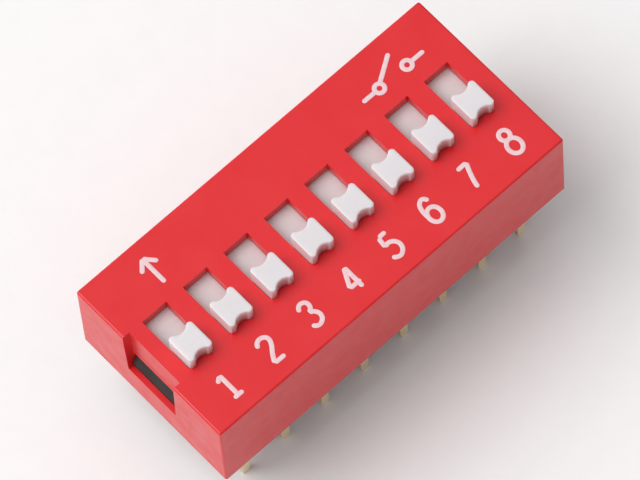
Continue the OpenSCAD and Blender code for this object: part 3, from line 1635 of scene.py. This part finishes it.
@dataclass
class Legend(SubAssembly):
    """The printed numbers, the arrow towards the closed side, and the switch symbol."""

    digit_y: float = -3.37
    mark_y: float = 3.3
    arrow_x: float = -7.5
    symbol_x: float = 7.3
    stroke: float = 0.24
    step: float = 0.03
    ink: float = 0.012

    def drawing(self) -> bpy.types.Mesh:
        """Draws every stroke as a line, in millimetres, at height 0.

        Returns:
            A mesh of edges.
        """
        marks = [(self.column(n), self.digit_y, DIGITS[n]) for n in self.numbers()]
        marks.append((self.arrow_x, self.mark_y, ARROW))
        marks.append((self.symbol_x, self.mark_y, OPEN_SWITCH))
        points: list[tuple[float, float, float]] = []
        edges: list[tuple[int, int]] = []
        for x, y, strokes in marks:
            for stroke in strokes:
                closed = math.dist(stroke[0], stroke[-1]) < MERGE_MM
                own = stroke[:-1] if closed else stroke
                first = len(points)
                points += [(x + dx, y + dy, 0.0) for dx, dy in own]
                edges += [(first + k, first + k + 1) for k in range(len(own) - 1)]
                if closed:
                    edges.append((first + len(own) - 1, first))
        mesh = bpy.data.meshes.new("strokes")
        mesh.from_pydata(points, edges, [])
        return mesh

    def build(self) -> bpy.types.Object:
        """Prints the drawing on the cover's top.

        Returns:
            The ink's piece.
        """
        mesh = StrokePrint.run(
            self.drawing(),
            "printed_legend",
            Stroke_width=self.stroke,
            Step=self.step,
            Ink_height=self.ink,
            Finish=self.finishes.get(Slot.INK),
        )
        mesh.transform(Matrix.Translation((0, 0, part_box("cover")[1].z)))
        return self.settle("printed_legend", mesh, Slot.INK, Body.HOUSING.value)


def direction(azimuth: float, elevation: float) -> Vector:
    """Unit vector from the object towards a viewer.

    Args:
        azimuth: 0 in front of the object, 90 at its +X side, in degrees.
        elevation: Height above the horizon, in degrees.

    Returns:
        The direction.
    """
    a, e = math.radians(azimuth), math.radians(elevation)
    return Vector((math.sin(a) * math.cos(e), -math.cos(a) * math.cos(e), math.sin(e)))


@dataclass(frozen=True)
class AreaLamp:
    """One soft lamp, placed by its direction from the object."""

    name: str
    azimuth: float
    elevation: float
    distance: float
    size: float
    power: float
    colour: Colour = (1.0, 1.0, 1.0)

    def build(self, aim: Vector) -> None:
        """Adds the lamp.

        Args:
            aim: The point that it looks at.
        """
        data = bpy.data.lights.new(self.name, "AREA")
        data.shape = "DISK"
        data.size = self.size
        data.energy = self.power
        data.color = self.colour
        lamp = link(bpy.data.objects.new(self.name, data))
        back = direction(self.azimuth, self.elevation)
        lamp.location = aim + back * self.distance
        lamp.rotation_euler = (-back).to_track_quat("-Z", "Y").to_euler()


@dataclass
class Studio:
    """The floor, the soft lamps and the camera.

    Lengths are in metres, apart from the lens and the sensor, which are in millimetres.
    """

    azimuth: float = -37.09
    elevation: float = 65.71
    roll: float = -6.01
    distance: float = 0.35105
    lens: float = 421.8
    sensor: float = 36.0
    clip: Point = (0.02, 20.0)
    aim: tuple[float, float, float] = (-0.000136, 0.000061, 0.0027)
    floor_size: float = 3.0
    horizon: float = 0.055
    overhead: float = 0.81
    tilt: float = 0.6
    lamps: tuple[AreaLamp, ...] = (AreaLamp("key", -125.0, 56.0, 0.55, 0.5, 1.82),)

    def floor(self) -> None:
        """Lays the paper under the pin tips."""
        half = self.floor_size / 2
        corners = ((-1, -1), (1, -1), (1, 1), (-1, 1))
        mesh = bpy.data.meshes.new("paper")
        mesh.from_pydata(
            [(x * half, y * half, 0.0) for x, y in corners],
            [],
            [(0, 1, 2, 3)],
        )
        mesh.transform(Matrix.Translation((0, 0, CAD_BOX[0].z)))
        mesh.materials.append(StudioPaper().build())
        link(bpy.data.objects.new("paper", mesh))

    def light(self) -> None:
        """Sets the lamps and the even light around them."""
        world = bpy.data.worlds.new("studio")
        bpy.context.scene.world = world
        world.use_nodes = True
        sheet = NodeSheet(world.node_tree)
        way = sheet.add("ShaderNodeTexCoord").outputs["Generated"]
        height = sheet.along(way, "Z")
        key_side = direction(self.lamps[0].azimuth, 0.0) * self.tilt
        lean = sheet.vector_math("DOT_PRODUCT", way, tuple(key_side)).outputs["Value"]
        ground = world.node_tree.nodes["Background"]
        sheet.feed(ground.inputs["Color"], (1.0, 1.0, 1.0, 1.0))
        sheet.feed(
            ground.inputs["Strength"],
            sheet.math(
                "MULTIPLY",
                sheet.spread(height, 0.0, 1.0, self.horizon, self.overhead),
                sheet.math("ADD", 1.0, lean),
            ),
        )
        for lamp in self.lamps:
            lamp.build(Vector(self.aim))

    def camera(self) -> None:
        """Sets the camera and how its picture is developed."""
        back = direction(self.azimuth, self.elevation)
        around, roll = math.radians(self.azimuth), math.radians(self.roll)
        level = Vector((math.cos(around), math.sin(around), 0.0))
        upward = back.cross(level)
        right = level * math.cos(roll) + upward * math.sin(roll)
        above = back.cross(right)
        data = bpy.data.cameras.new("camera")
        data.sensor_width = self.sensor
        data.lens = self.lens
        data.clip_start, data.clip_end = self.clip
        camera = link(bpy.data.objects.new("camera", data))
        turn = Matrix((right, above, back)).transposed().to_4x4()
        camera.matrix_world = (
            Matrix.Translation(Vector(self.aim) + back * self.distance) @ turn
        )
        scene = bpy.context.scene
        scene.camera = camera
        scene.view_settings.view_transform = "Standard"

    def build(self) -> None:
        """Sets the whole studio."""
        self.camera()
        self.floor()
        self.light()
        LOG.info("studio: %d lamps", len(self.lamps))


def main() -> None:
    """Builds the studio and every piece, in order."""
    logging.basicConfig(level=logging.INFO, format="%(name)s: %(message)s")
    Studio().build()
    finishes = FinishShelf()
    housing = Housing(finishes)
    housing.cover()
    housing.base()
    SliderBank(finishes).build()
    terminals = Terminals(finishes)
    for side in Side:
        terminals.row(side)
    Legend(finishes).build()


if __name__ == "__main__":
    main()
